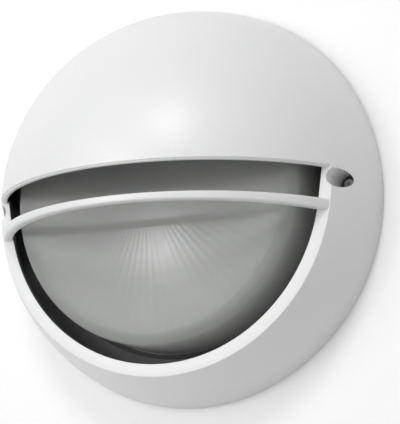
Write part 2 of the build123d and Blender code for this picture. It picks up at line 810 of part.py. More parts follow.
def make_terminal_block():
    """Moulded connector block with a round housing over each pole."""
    outline = Pos(block_x, block_z) * Rectangle(block_length, block_width)
    body = raised(outline, plate_thick, block_low_height)
    hump_width = 2 * (barrel_radius + hump_wall)
    for x in pole_places():
        hump = Pos(x, block_z) * RectangleRounded(hump_width, block_width - 2 * hump_set_back, hump_corner)
        body += raised(hump, plate_thick, block_height)
    for x in pole_places():
        bore = barrel_radius + push_fit
        body -= along_z(x, barrel_depth, bore, block_z - block_width, block_z + block_width)
    for x, z in clamp_screw_places():
        body -= post(x, z, clamp_screw_radius + 2 * push_fit, barrel_depth, block_front)
    middle_x = block_x + pole_pitch / 2
    body -= post(middle_x, block_z, small_screw_radius + 2 * thread_clearance, plate_thick, block_front)
    body -= post(middle_x, block_z, small_head_radius + thread_clearance, block_screw_seat, block_front)
    return body


def make_terminal_barrels():
    """Brass barrels, one in each pole, drilled for the wires and the clamp screws."""
    barrels = []
    for x in pole_places():
        half = barrel_length / 2
        barrel = along_z(x, barrel_depth, barrel_radius, block_z - half, block_z + half)
        barrel -= along_z(x, barrel_depth, barrel_bore, block_z - half, block_z + half)
        for end in (-1, 1):
            z = block_z + end * clamp_screw_offset
            barrel -= post(x, z, clamp_screw_radius + push_fit, barrel_depth, block_front)
        barrels.append(barrel)
    return barrels


def make_terminal_screws():
    """Slotted clamp screws, two in each barrel, that press on the wires."""
    wire_top = barrel_depth + wire_radius
    screws = []
    for x, z in clamp_screw_places():
        screw = post(x, z, clamp_screw_radius, wire_top, block_front - clamp_screw_recess)
        slot = Pos(x, z) * Rectangle(3 * clamp_screw_radius, clamp_slot_width)
        screws.append(screw - raised(slot, block_front - 2 * clamp_screw_recess, clamp_screw_recess))
    return screws


def make_terminal_block_screw():
    """Screw that holds the terminal block on the base plate."""
    length = block_screw_seat - block_screw_tip - thread_clearance
    screw = pan_screw(small_screw_radius, length)
    return facing_front(block_x + pole_pitch / 2, block_z, block_screw_seat) * screw


def make_earth_lug():
    """Crimped ring terminal under the earth screw, with its barrel towards the block."""
    towards_block = degrees(atan2(block_z - earth_z, block_x + pole_pitch - earth_x))
    neck = Pos(lug_barrel_from_hole / 2, 0) * Rectangle(lug_barrel_from_hole, lug_radius)
    plate = Circle(lug_radius) + neck - Circle(earth_screw_radius + thread_clearance)
    lug = extrude(plate, amount=lug_sheet)
    start = Plane(origin=(lug_barrel_from_hole, 0, lug_barrel_radius), z_dir=(1, 0, 0))
    lug += extrude(start * Circle(lug_barrel_radius), amount=lug_barrel_length)
    lug -= extrude(start * Circle(wire_radius + push_fit), amount=lug_barrel_length)
    return facing_front(earth_x, earth_z, earth_seat) * lug.rotate(Axis.Z, towards_block)


def make_earth_washer():
    """Toothed washer between the earth screw's head and the lug."""
    start = earth_seat + lug_sheet
    washer = Circle(earth_head_radius) - Circle(earth_screw_radius + thread_clearance)
    return raised(Pos(earth_x, earth_z) * washer, start, earth_washer_thick)


def make_earth_screw():
    """Earth screw in its boss on the base."""
    head_seat = earth_seat + lug_sheet + earth_washer_thick
    length = head_seat - earth_seat + screw_bite - thread_clearance
    screw = pan_screw(earth_screw_radius, length, earth_head_radius, earth_head_height)
    return facing_front(earth_x, earth_z, head_seat) * screw


def make_wire(points):
    """Insulated wire through points, in straight runs joined by tangent arcs."""
    corners = [Vector(*point) for point in points]
    radii = []
    for before, here, after in zip(corners, corners[1:], corners[2:]):
        first, second = here - before, after - here
        turn = first.get_angle(second)
        radii.append(0.45 * min(first.length, second.length) / tan(radians(turn / 2)))
    path = FilletPolyline(*corners, radius=radii)
    profile = Plane(origin=path @ 0, z_dir=path % 0) * Circle(wire_radius)
    return sweep(profile, path=path)


def make_live_wire():
    """Live wire, from the first pole to the lampholder."""
    x = pole_places()[0]
    z = block_z - clamp_screw_offset
    return make_wire([
        (x, -barrel_depth, z),
        (x, -barrel_depth, z - 12),
        (x - 22, -barrel_depth, z - 19),
        (x - 50, -barrel_depth, z - 18),
        holder_wire_point(live_wire_x, 16),
        holder_wire_point(live_wire_x, -holder_wire_depth),
    ])


def make_neutral_wire():
    """Neutral wire, from the middle pole to the lampholder."""
    x = pole_places()[1]
    z = block_z - clamp_screw_offset
    return make_wire([
        (x, -barrel_depth, z),
        (x, -barrel_depth, z - 18),
        (x - 22, -barrel_depth, z - 26),
        (x - 46, -barrel_depth, z - 27),
        holder_wire_point(neutral_wire_x, 14),
        holder_wire_point(neutral_wire_x, -holder_wire_depth),
    ])


def make_earth_wire():
    """Earth wire, from the last pole to the lug."""
    x = pole_places()[-1]
    z = block_z - clamp_screw_offset
    towards_block = atan2(block_z - earth_z, block_x + pole_pitch - earth_x)
    lug_end = lug_barrel_from_hole + lug_barrel_length
    bend_from_lug = 8
    crimped = 5.4

    def from_lug(reach):
        across = reach * cos(towards_block)
        return (earth_x + across, -earth_seat - lug_barrel_radius, earth_z + reach * sin(towards_block))

    return make_wire([
        (x, -barrel_depth, z),
        (x, -barrel_depth, z - 13),
        from_lug(lug_end + bend_from_lug),
        from_lug(lug_end - crimped),
    ])


def make_cover_screw(side):
    """Socket-head screw in its recess, through the cover into the base boss."""
    length = screw_seat - screw_tip
    head = extrude(Circle(screw_head_radius), amount=screw_head_height)
    head = fillet(head.edges().group_by(Axis.Z)[-1], screw_head_rounding)
    socket = extrude(RegularPolygon(screw_socket / 2, 6, major_radius=False), amount=-screw_socket_depth)
    screw = head - Pos(0, 0, screw_head_height) * socket
    screw += extrude(Circle(screw_radius), amount=-length)
    return facing_front(side * screw_axis, -screw_drop, screw_seat) * screw


def make_screw_washer(side):
    """Sealing washer that stays under the head of its screw."""
    inner = screw_radius + thread_clearance
    washer = Pos(side * screw_axis, -screw_drop) * (Circle(screw_head_radius) - Circle(inner))
    return raised(washer, recess_floor, screw_washer_thick)


parts = {
    "wall_base": make_wall_base(),
    "wall_gasket": make_wall_gasket(),
    "base_seal": make_base_seal(),
    "cable_grommet": make_cable_grommet(),
    "reflector": make_reflector(),
    "reflector_screws": make_reflector_screws(),
    "lampholder_bracket": make_lampholder_bracket(),
    "bracket_screws": make_bracket_screws(),
    "lampholder_body": make_lampholder_body(),
    "lampholder_shell": make_lampholder_shell(),
    "lampholder_contact": make_lampholder_contact(),
    "lampholder_screws": make_lampholder_screws(),
    "terminal_block": make_terminal_block(),
    "terminal_barrels": make_terminal_barrels(),
    "terminal_screws": make_terminal_screws(),
    "terminal_block_screw": make_terminal_block_screw(),
    "earth_lug": make_earth_lug(),
    "earth_washer": make_earth_washer(),
    "earth_screw": make_earth_screw(),
    "live_wire": make_live_wire(),
    "neutral_wire": make_neutral_wire(),
    "earth_wire": make_earth_wire(),
    "front_cover": make_front_cover(),
    "glass_diffuser": make_glass_diffuser(),
    "glass_gasket": make_glass_gasket(),
    "clip_screws": around(make_clip_screw(), clip_count, clip_first_angle),
    "bulb_cap": make_bulb_cap(),
    "bulb_insulator": make_bulb_insulator(),
    "bulb_contact": make_bulb_contact(),
    "bulb_envelope": make_bulb_envelope(),
    "bulb_stem": make_bulb_stem(),
    "bulb_filament": make_bulb_filament(),
}
for number, clip in enumerate(around(make_glass_clip(), clip_count, clip_first_angle), start=1):
    parts[f"glass_clip_{number}"] = clip
for name, side in (("left", -1), ("right", 1)):
    parts[f"{name}_cover_screw"] = make_cover_screw(side)
    parts[f"{name}_screw_washer"] = make_screw_washer(side)

os.makedirs("parts", exist_ok=True)
for node, shape in parts.items():
    solid = Compound(children=shape) if isinstance(shape, list) else shape
    export_step(solid, f"parts/{node}.step")
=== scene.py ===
from math import acos, atan2, cos, pi, radians, sin, sqrt, tau

import bmesh
import bpy
from mathutils import Matrix, Quaternion, Vector


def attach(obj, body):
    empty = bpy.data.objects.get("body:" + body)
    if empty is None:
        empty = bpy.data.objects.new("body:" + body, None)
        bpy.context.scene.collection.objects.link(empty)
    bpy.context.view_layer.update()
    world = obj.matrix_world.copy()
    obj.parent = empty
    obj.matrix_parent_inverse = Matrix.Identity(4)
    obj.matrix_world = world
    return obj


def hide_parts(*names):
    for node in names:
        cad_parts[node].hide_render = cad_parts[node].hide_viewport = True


# Round eyelid wall light. Blender works in metres; the sizes below are in millimetres.
# A depth is the distance in front of the wall, which is -Y.
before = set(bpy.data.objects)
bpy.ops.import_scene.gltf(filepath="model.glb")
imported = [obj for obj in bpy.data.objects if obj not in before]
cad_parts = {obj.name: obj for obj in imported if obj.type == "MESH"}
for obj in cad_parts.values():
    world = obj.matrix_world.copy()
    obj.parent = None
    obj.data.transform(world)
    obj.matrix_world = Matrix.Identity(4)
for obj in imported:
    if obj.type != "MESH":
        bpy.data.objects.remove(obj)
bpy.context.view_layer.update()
mm = 0.001


# Small helpers

def linear(code):
    # sRGB hex to linear RGBA
    parts = [int(code[i:i + 2], 16) / 255 for i in (1, 3, 5)]
    return tuple(c / 12.92 if c <= 0.04045 else ((c + 0.055) / 1.055) ** 2.4 for c in parts) + (1.0,)


def addNode(tree, kind, inputs=None, **settings):
    # A node with its settings; an input is a value, or a socket to link
    node = tree.nodes.new(kind)
    for name, value in settings.items():
        setattr(node, name, value)
    for name, value in (inputs or {}).items():
        if isinstance(value, bpy.types.NodeSocket):
            tree.links.new(value, node.inputs[name])
        else:
            node.inputs[name].default_value = value
    return node


def startMaterial(name):
    # Empty node material with its output and Object coordinates
    material = bpy.data.materials.new(name)
    material.use_nodes = True
    tree = material.node_tree
    tree.nodes.clear()
    output = addNode(tree, "ShaderNodeOutputMaterial")
    coords = addNode(tree, "ShaderNodeTexCoord").outputs["Object"]
    return material, tree, output, coords


def perMm(size):
    # Pattern scale, in repeats per metre, for one repeat of this many millimetres
    return 1000.0 / size


def toObject(bm, name, materials, smooth=40):
    # Mesh object from a bmesh, smooth but for edges sharper than an angle in degrees
    mesh = bpy.data.meshes.new(name)
    bm.to_mesh(mesh)
    bm.free()
    obj = bpy.data.objects.new(name, mesh)
    bpy.context.scene.collection.objects.link(obj)
    for material in materials:
        mesh.materials.append(material)
    mesh.shade_smooth()
    mesh.set_sharp_from_angle(angle=radians(smooth))
    return obj


def applyAll(obj):
    # Makes an object's modifiers part of its mesh
    graph = bpy.context.evaluated_depsgraph_get()
    done = bpy.data.meshes.new_from_object(obj.evaluated_get(graph), preserve_all_data_layers=True,
                                           depsgraph=graph)
    obj.modifiers.clear()
    old = obj.data
    obj.data = done
    bpy.data.meshes.remove(old)


def combine(obj, tools, operation):
    # Boolean of an object with each tool in turn; the tools are removed
    for tool in tools:
        step = obj.modifiers.new("combine", "BOOLEAN")
        step.operation = operation
        step.solver = "MANIFOLD"
        step.object = tool
        applyAll(obj)
        bpy.data.objects.remove(tool)


def everything(bm):
    return bm.verts[:] + bm.edges[:] + bm.faces[:]


def cleaned(bm, distance=0.01):
    # Merges doubles and turns the faces outwards
    bmesh.ops.remove_doubles(bm, verts=bm.verts, dist=distance * mm)
    bmesh.ops.recalc_face_normals(bm, faces=bm.faces)


def depthOf(vector):
    return -vector.y / mm


def cutBehind(bm, depth):
    # Clears everything behind one depth
    bmesh.ops.bisect_plane(bm, geom=everything(bm), plane_co=(0, -depth * mm, 0), plane_no=(0, 1, 0),
                           clear_outer=True)


def bevelEdges(bm, edges, offset, segments=3):
    bmesh.ops.bevel(bm, geom=edges, offset=offset * mm, segments=segments, profile=0.5,
                    affect="EDGES", material=-1, clamp_overlap=True, loop_slide=True)


def roundedOutline(corners, segments=6):
    # Points of radius and depth, with an arc of the radius given at each corner
    points = []
    for i, (x, y, radius) in enumerate(corners):
        here = Vector((x, y))
        if radius == 0 or i in (0, len(corners) - 1):
            points.append(here)
            continue
        before = (Vector(corners[i - 1][:2]) - here).normalized()
        after = (Vector(corners[i + 1][:2]) - here).normalized()
        half = acos(max(-1, min(1, before.dot(after)))) / 2
        reach = radius / (sin(half) / cos(half))
        centre = here + (before + after).normalized() * (radius / sin(half))
        start = here + before * reach - centre
        end = here + after * reach - centre
        for step in range(segments + 1):
            points.append(centre + start.normalized().slerp(end.normalized(), step / segments) * radius)
    return points


def spunProfile(points, steps):
    # Turns a closed line of radius and depth round the lamp axis
    bm = bmesh.new()
    verts = [bm.verts.new((x * mm, -y * mm, 0)) for x, y in points]
    edges = [bm.edges.new(pair) for pair in zip(verts, verts[1:] + verts[:1])]
    bmesh.ops.spin(bm, geom=verts + edges, cent=(0, 0, 0), axis=(0, 1, 0), dvec=(0, 0, 0),
                   angle=tau, steps=steps, use_merge=True, use_duplicate=False)
    cleaned(bm)
    return bm


def cylinder(x, z, radius, depthFrom, depthTo, segments=64):
    # Round bar along the lamp axis
    bm = bmesh.new()
    bmesh.ops.create_cone(bm, cap_ends=True, segments=segments, radius1=radius * mm, radius2=radius * mm,
                          depth=(depthTo - depthFrom) * mm)
    bmesh.ops.rotate(bm, verts=bm.verts, cent=(0, 0, 0), matrix=Matrix.Rotation(radians(90), 3, "X"))
    bmesh.ops.translate(bm, verts=bm.verts, vec=(x * mm, -(depthFrom + depthTo) / 2 * mm, z * mm))
    return bm


# Materials

def grainedTone(tree, coords, low, high, grainMm, detail):
    # Noise over the surface and a colour that runs between two close tones with it
    noise = addNode(tree, "ShaderNodeTexNoise", {
        "Vector": coords, "Scale": perMm(grainMm), "Detail": detail})
    grain = noise.outputs["Fac"]
    tone = addNode(tree, "ShaderNodeMix", {
        "Factor": grain, "A": linear(low), "B": linear(high)}, data_type="RGBA")
    return grain, tone.outputs["Result"]


def bumped(tree, height, strength, bumpMm):
    # Normal of a surface roughened by a height
    bump = addNode(tree, "ShaderNodeBump", {"Height": height, "Strength": strength, "Distance": bumpMm * mm})
    return bump.outputs["Normal"]


def ranged(tree, value, low, high):
    # A value from 0 to 1 spread over a range
    spread = addNode(tree, "ShaderNodeMapRange", {"Value": value, "To Min": low, "To Max": high})
    return spread.outputs["Result"]


def finishMaterial(tree, output, inputs):
    shader = addNode(tree, "ShaderNodeBsdfPrincipled", inputs)
    tree.links.new(shader.outputs["BSDF"], output.inputs["Surface"])


def powderCoat():
    # White polyester powder coat, sprayed and baked: satin, with a fine orange peel and no flow lines.
    # The clear resin skin over the pigment gives a second, softly spread gloss
    material, tree, output, coords = startMaterial("powderCoatSatinWhite")
    haze, tone = grainedTone(tree, coords, "#EEEFEF", "#F4F4F3", 60, 2.0)
    peel = addNode(tree, "ShaderNodeTexNoise", {"Vector": coords, "Scale": perMm(1.6), "Detail": 3.0})
    finishMaterial(tree, output, {
        "Base Color": tone, "Roughness": ranged(tree, haze, 0.38, 0.48), "IOR": 1.5,
        "Coat Weight": 0.4, "Coat Roughness": 0.33,
        "Normal": bumped(tree, peel.outputs["Fac"], 0.12, 0.02)})
    return material


def insideShadeMaterial():
    # Painted shade inside the casting: a dull, blotchy grey that stands in for the dark of the hollow behind
    # the window frame
    material, tree, output, coords = startMaterial("paintedShadeInside")
    blotch, tone = grainedTone(tree, coords, "#58585A", "#6A6A6C", 9, 4.0)
    finishMaterial(tree, output, {
        "Base Color": tone, "Roughness": 0.7, "Normal": bumped(tree, blotch, 0.3, 0.1)})
    return material


def pressedGlass(name, roughFrom, roughTo):
    # Pressed soda-lime glass, milky grey: it passes part of the light straight on and scatters a part,
    # so the reflector behind it shows faintly and the side of the bowl isn't black
    material, tree, output, coords = startMaterial(name)
    cloud, tone = grainedTone(tree, coords, "#C6C8C7", "#D0D1CF", 25, 3.0)
    grain = addNode(tree, "ShaderNodeTexNoise", {"Vector": coords, "Scale": perMm(1.4), "Detail": 2.0})
    body = addNode(tree, "ShaderNodeBsdfPrincipled", {
        "Base Color": tone, "Roughness": ranged(tree, cloud, roughFrom, roughTo), "IOR": 1.5,
        "Transmission Weight": 0.5, "Normal": bumped(tree, grain.outputs["Fac"], 0.12, 0.03)})
    scatter = addNode(tree, "ShaderNodeBsdfTranslucent", {"Color": tone})
    milky = addNode(tree, "ShaderNodeMixShader", {"Fac": 0.3, 1: body.outputs[0], 2: scatter.outputs[0]})
    path = addNode(tree, "ShaderNodeLightPath")
    passed = addNode(tree, "ShaderNodeMath", {0: path.outputs["Is Shadow Ray"], 1: 0.75},
                     operation="MULTIPLY")
    clear = addNode(tree, "ShaderNodeBsdfTransparent")
    lit = addNode(tree, "ShaderNodeMixShader", {
        "Fac": passed.outputs[0], 1: milky.outputs[0], 2: clear.outputs[0]})
    tree.links.new(lit.outputs[0], output.inputs["Surface"])
    return material


def plainMaterial(name, low, high, grainMm, roughFrom, roughTo, bumpMm, **more):
    # Two close tones over a grain, with roughness and bump from it
    material, tree, output, coords = startMaterial(name)
    grain, tone = grainedTone(tree, coords, low, high, grainMm, 4.0)
    finishMaterial(tree, output, {
        "Base Color": tone, "Roughness": ranged(tree, grain, roughFrom, roughTo),
        "Normal": bumped(tree, grain, 0.4, bumpMm), **more})
    return material


coatWhite = powderCoat()
# Dark grey painted shade for the inside of the cover
paintedShadeGrey = insideShadeMaterial()
# The outside is fire-polished and keeps a soft gloss; the inside is acid-frosted, which blurs what is behind
glassPolished = pressedGlass("pressedGlassOutside", 0.17, 0.23)
glassFrosted = pressedGlass("pressedGlassFrostedInside", 0.45, 0.55)
metal = {"Metallic": 1.0}
fittings = {
    # Blasted die casting: a pale, even, dull grain
    "casting": plainMaterial("dieCastAluminiumBlasted", "#B9BAB9", "#D2D3D1", 0.8, 0.45, 0.6, 0.08,
                             Metallic=0.3),
    # Closed-cell foam: fine dark cells
    "foam": plainMaterial("polyethyleneFoam", "#2F3032", "#404144", 0.6, 0.85, 0.95, 0.2),
    # Extruded silicone: even grey with a soft sheen
    "silicone": plainMaterial("siliconeCord", "#767879", "#838585", 2.0, 0.4, 0.5, 0.02),
    # Moulded rubber: black and dull
    "rubber": plainMaterial("epdmMoulded", "#151516", "#1F1F20", 1.0, 0.5, 0.65, 0.03),
    # Stove enamel on sheet: smooth and glossy white
    "enamel": plainMaterial("stoveEnamelWhite", "#E4E4E0", "#EEEEEA", 12.0, 0.25, 0.35, 0.02),
    # Zinc plate: cool grey with a fine mottle
    "zinc": plainMaterial("zincPlatedSteel", "#A9ADAF", "#C6C8C4", 1.5, 0.28, 0.42, 0.02, **metal),
    # Turned stainless bar: darker, with a fine machined grain
    "stainless": plainMaterial("stainlessMachined", "#8B8C8D", "#B5B5B4", 0.7, 0.2, 0.35, 0.01, **metal),
    # Glazed porcelain: warm white and very smooth
    "porcelain": plainMaterial("porcelainGlazed", "#E8E6DE", "#F0EEE7", 8.0, 0.08, 0.14, 0.02),
    # Rolled brass: yellow with faint rolling marks
    "brass": plainMaterial("brassRolled", "#C9A55C", "#DDBD78", 1.2, 0.25, 0.4, 0.01, **metal),
    # Tinned copper and solder: soft grey sheen
    "tin": plainMaterial("copperTinned", "#B5B5B0", "#CDCDC6", 0.8, 0.3, 0.42, 0.02, **metal),
    # Rolled aluminium of the bulb's cap: bright and lightly worn
    "capSheet": plainMaterial("aluminiumRolled", "#C3C4C5", "#D8D8D8", 1.0, 0.25, 0.38, 0.01, **metal),
    # Vitrite: glossy black glass
    "vitrite": plainMaterial("vitriteBlack", "#0C0C10", "#17171B", 3.0, 0.08, 0.15, 0.01),
    # Moulded polyamide: ivory and satin
    "polyamide": plainMaterial("polyamideNatural", "#DAD5C4", "#E4E0D2", 2.0, 0.4, 0.5, 0.03),
    # Drawn tungsten: dark grey wire
    "tungsten": plainMaterial("tungstenDrawn", "#4C4B4A", "#6B6A68", 0.3, 0.4, 0.5, 0.01, **metal),
    # Extruded wire insulation: smooth and coloured for its conductor
    "brown": plainMaterial("pvcBrown", "#4A2A19", "#583420", 2.0, 0.35, 0.45, 0.01),
    "blue": plainMaterial("pvcBlue", "#1E4F97", "#2A5EA8", 2.0, 0.35, 0.45, 0.01),
    "greenYellow": plainMaterial("pvcGreenYellow", "#3F8A2C", "#D7C52B", 4.0, 0.35, 0.45, 0.01),
    # Blown bulb glass: clear, with a faint waviness
    "clear": plainMaterial("bulbGlassBlown", "#F1F3F3", "#FAFBFB", 20.0, 0.02, 0.05, 0.01,
                           **{"Transmission Weight": 1.0, "IOR": 1.5}),
}
# The nodes of each kind; all the others are zinc-plated steel
made = {
    "casting": ["wall_base"],
    "foam": ["wall_gasket"],
    "silicone": ["base_seal", "left_screw_washer", "right_screw_washer"],
    "rubber": ["cable_grommet", "glass_gasket"],
    "enamel": ["reflector"],
    "stainless": ["left_cover_screw", "right_cover_screw"],
    "porcelain": ["lampholder_body"],
    "brass": ["lampholder_shell", "lampholder_contact", "terminal_barrels"],
    "tin": ["earth_lug", "bulb_contact"],
    "capSheet": ["bulb_cap"],
    "vitrite": ["bulb_insulator"],
    "polyamide": ["terminal_block"],
    "tungsten": ["bulb_filament"],
    "brown": ["live_wire"],
    "blue": ["neutral_wire"],
    "greenYellow": ["earth_wire"],
    "clear": ["bulb_envelope", "bulb_stem"],
}
kindOf = {node: kind for kind, nodes in made.items() for node in nodes}
for nodeName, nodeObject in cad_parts.items():
    nodeObject.data.materials.clear()
    nodeObject.data.materials.append(fittings[kindOf.get(nodeName, "zinc")])
print("materials done")


# Cover casting: dome with eyelid, window frame, crossbar, lip and inner web

cover = {
    "radius": 130.0,         # dome at the wall
    "depth": 117.0,          # wall to the dome's front
    "rimGap": 1.5,           # shadow gap at the wall
    "wall": 3.2,
    "windowDepth": 50.7,     # flat window frame
    "frameWidth": 7.6,
    "plateInner": 98.0,      # the frame plate reaches in this far before the window is cut
    "plateRise": 1.0,        # and its top rises this far past the eyelid's edge, into the lip
    "eyelid": 5.3,           # lower edge of the eyelid
    "edge": 0.9,             # rounding of the cast edges
    "screwX": 116.0,
    "screwZ": -1.6,
    "recess": 5.8,
    "recessFloor": 21.3,
    "recessWall": 2.2,
    "postEnd": 15.3,         # back end of the tube round a recess
    "postStock": 49.0,       # its front before it is trimmed to the dome
    "screwHole": 2.3,
    "webBack": 18.8,
    "webFront": 21.8,
    "webHole": 100.51,
    "clipAxis": 111.81,
    "clipBoss": 3.6,
    "clipBossBack": 14.5,
    "around": 288,
    "rings": 144,
}
crossbar = {
    "top": -14.9,            # at the window frame
    "topFront": -13.9,       # at the front of the dome
    "height": 6.3,
    "heightFront": 4.5,
    "step": 0.4,             # inside the dome surface
    "thick": 6.0,
    "round": 1.5,
}
lipHeight = 3.0
lipDrop = 1.15               # below the eyelid's edge
lipTop = cover["eyelid"] - lipDrop + lipHeight
lip = {
    "top": lipTop,
    "topFront": lipTop,
    "height": lipHeight,
    "heightFront": lipHeight,
    "step": 1.0,
    "thick": 3.0,
    "round": 0.6,
}
ballRadius = (cover["radius"] ** 2 + cover["depth"] ** 2) / (2 * cover["depth"])
ballBehind = ballRadius - cover["depth"]
wallMiddle = ballRadius - cover["wall"] / 2


def ballAt(radius, depth):
    # Distance from the lamp axis of a ball round the dome's centre, at a depth
    return sqrt(radius ** 2 - (ballBehind + depth) ** 2)


frameOuter = ballAt(ballRadius, cover["windowDepth"])
windowRadius = frameOuter - cover["frameWidth"]


def domeShell():
    # Dome cut for the eyelid, with the flat frame plate turned in from the cut, thickened inwards
    bm = bmesh.new()
    bmesh.ops.create_uvsphere(bm, u_segments=cover["around"], v_segments=cover["rings"],
                              radius=ballRadius * mm)
    bmesh.ops.rotate(bm, verts=bm.verts, cent=(0, 0, 0), matrix=Matrix.Rotation(radians(90), 3, "X"))
    bmesh.ops.translate(bm, verts=bm.verts, vec=(0, ballBehind * mm, 0))
    spare = 1.0
    cutBehind(bm, -spare)
    lid = cover["eyelid"] * mm
    front = cover["windowDepth"]
    close = 0.02
    bmesh.ops.bisect_plane(bm, geom=everything(bm), plane_co=(0, 0, lid), plane_no=(0, 0, 1))
    bmesh.ops.bisect_plane(bm, geom=everything(bm), plane_co=(0, -front * mm, 0), plane_no=(0, 1, 0))
    middles = {f: f.calc_center_median() for f in bm.faces}
    opening = [f for f, middle in middles.items() if middle.z < lid and depthOf(middle) > front]
    bmesh.ops.delete(bm, geom=opening, context="FACES")
    cleaned(bm, close)

    rim = [e for e in bm.edges if e.is_boundary
           and all(abs(depthOf(v.co) - front) < close and v.co.z < lid + close * mm for v in e.verts)]
    turned = bmesh.ops.extrude_edge_only(bm, edges=rim)
    inner = [v for v in turned["geom"] if isinstance(v, bmesh.types.BMVert)]
    shrink = cover["plateInner"] / frameOuter
    bmesh.ops.scale(bm, verts=inner, vec=(shrink, 1, shrink))
    for v in inner:
        if v.co.z > 0.83 * lid:   # the two ends of the plate, drawn in from the eyelid's edge
            v.co.z = lid + cover["plateRise"] * mm
    bmesh.ops.recalc_face_normals(bm, faces=bm.faces)
    if max(bm.faces, key=lambda f: f.calc_center_median().z).normal.z < 0:
        bmesh.ops.reverse_faces(bm, faces=bm.faces)
    bmesh.ops.solidify(bm, geom=bm.faces[:], thickness=cover["wall"] * mm)
    cutBehind(bm, cover["rimGap"])
    bmesh.ops.bridge_loops(bm, edges=[e for e in bm.edges if e.is_boundary])
    cleaned(bm, 0.001)
    return bm


def windowTool():
    # Cutter for the opening: round below the crossbar, then straight sides that flare up to the eyelid
    low = crossbar["top"]
    sideX = sqrt(windowRadius ** 2 - low ** 2)
    topZ = cover["eyelid"] + 3.0
    topX = sideX - low / sideX * (topZ - low)
    start = atan2(low, sideX)
    steps = 220
    angles = [start - (pi + 2 * start) * i / steps for i in range(steps + 1)]
    arc = [(windowRadius * cos(a), windowRadius * sin(a)) for a in angles]
    outline = [(topX, topZ)] + arc + [(-topX, topZ)]
    behind, before = 9.0, 1.0   # the cutter's reach behind and before the frame's face
    back = -(cover["windowDepth"] - behind) * mm
    bm = bmesh.new()
    face = bm.faces.new([bm.verts.new((x * mm, back, z * mm)) for x, z in outline])
    drawn = bmesh.ops.extrude_face_region(bm, geom=[face])
    moved = [v for v in drawn["geom"] if isinstance(v, bmesh.types.BMVert)]
    bmesh.ops.translate(bm, verts=moved, vec=(0, -(behind + before) * mm, 0))
    bmesh.ops.recalc_face_normals(bm, faces=bm.faces)
    return bm


def screwPost(side):
    # Tube stock round a screw recess, whose top follows the middle of the dome's wall
    bm = cylinder(side * cover["screwX"], cover["screwZ"], cover["recess"] + cover["recessWall"],
                  cover["postEnd"], cover["postStock"])
    deepest = cover["windowDepth"] - cover["wall"] / 2
    halfway = (cover["postEnd"] + cover["postStock"]) / 2
    for v in bm.verts:
        if depthOf(v.co) > halfway:
            fromAxis = (v.co.x / mm) ** 2 + (v.co.z / mm) ** 2
            reach = sqrt(max(0, wallMiddle ** 2 - fromAxis)) - ballBehind
            v.co.y = -min(reach, deepest) * mm
    return bm


def hoop(name, shape):
    # Level hoop inside the dome: its outer face follows the dome, and its height can taper to the front
    height = shape["height"]
    thick = shape["thick"]
    bm = bmesh.new()
    bmesh.ops.create_grid(bm, x_segments=1, y_segments=1, size=0.5)
    bmesh.ops.scale(bm, verts=bm.verts, vec=(thick * mm, height * mm, 1))
    bmesh.ops.bevel(bm, geom=bm.verts[:], offset=shape["round"] * mm, segments=5, profile=0.5,
                    affect="VERTICES", material=-1)
    bmesh.ops.rotate(bm, verts=bm.verts, cent=(0, 0, 0), matrix=Matrix.Rotation(radians(90), 3, "X"))
    outer = ballRadius - shape["step"]
    centre = Vector((0, ballBehind * mm, 0))
    bmesh.ops.translate(bm, verts=bm.verts, vec=((outer - thick / 2) * mm, centre.y, 0))
    bmesh.ops.delete(bm, geom=bm.faces[:], context="FACES_ONLY")
    bmesh.ops.spin(bm, geom=bm.verts[:] + bm.edges[:], cent=centre, axis=(0, 0, 1), dvec=(0, 0, 0),
                   angle=-pi, steps=160, use_merge=False, use_duplicate=False)
    for v in bm.verts:
        flat = Vector((v.co.x, v.co.y - centre.y, 0))
        share = (depthOf(v.co) - cover["windowDepth"]) / (cover["depth"] - cover["windowDepth"])
        top = shape["top"] + (shape["topFront"] - shape["top"]) * share
        tall = height + (shape["heightFront"] - height) * share
        z = top + tall * (v.co.z / mm / height - 0.5)
        reach = sqrt((flat.length / mm) ** 2 - z ** 2) * mm
        v.co = centre + flat.normalized() * reach + Vector((0, 0, z * mm))
    rooted = 2.8   # how far the hoop's ends run into the frame plate
    cutBehind(bm, cover["windowDepth"] - rooted)
    bmesh.ops.holes_fill(bm, edges=bm.edges[:], sides=0)
    cleaned(bm, 0.001)
    return toObject(bm, name, [coatWhite])


def isRecess(point, margin):
    # Whether a point lies within a screw recess, seen from the front
    return any(Vector((point.x / mm - side * cover["screwX"], point.z / mm - cover["screwZ"])).length
               < cover["recess"] + margin for side in (-1, 1))


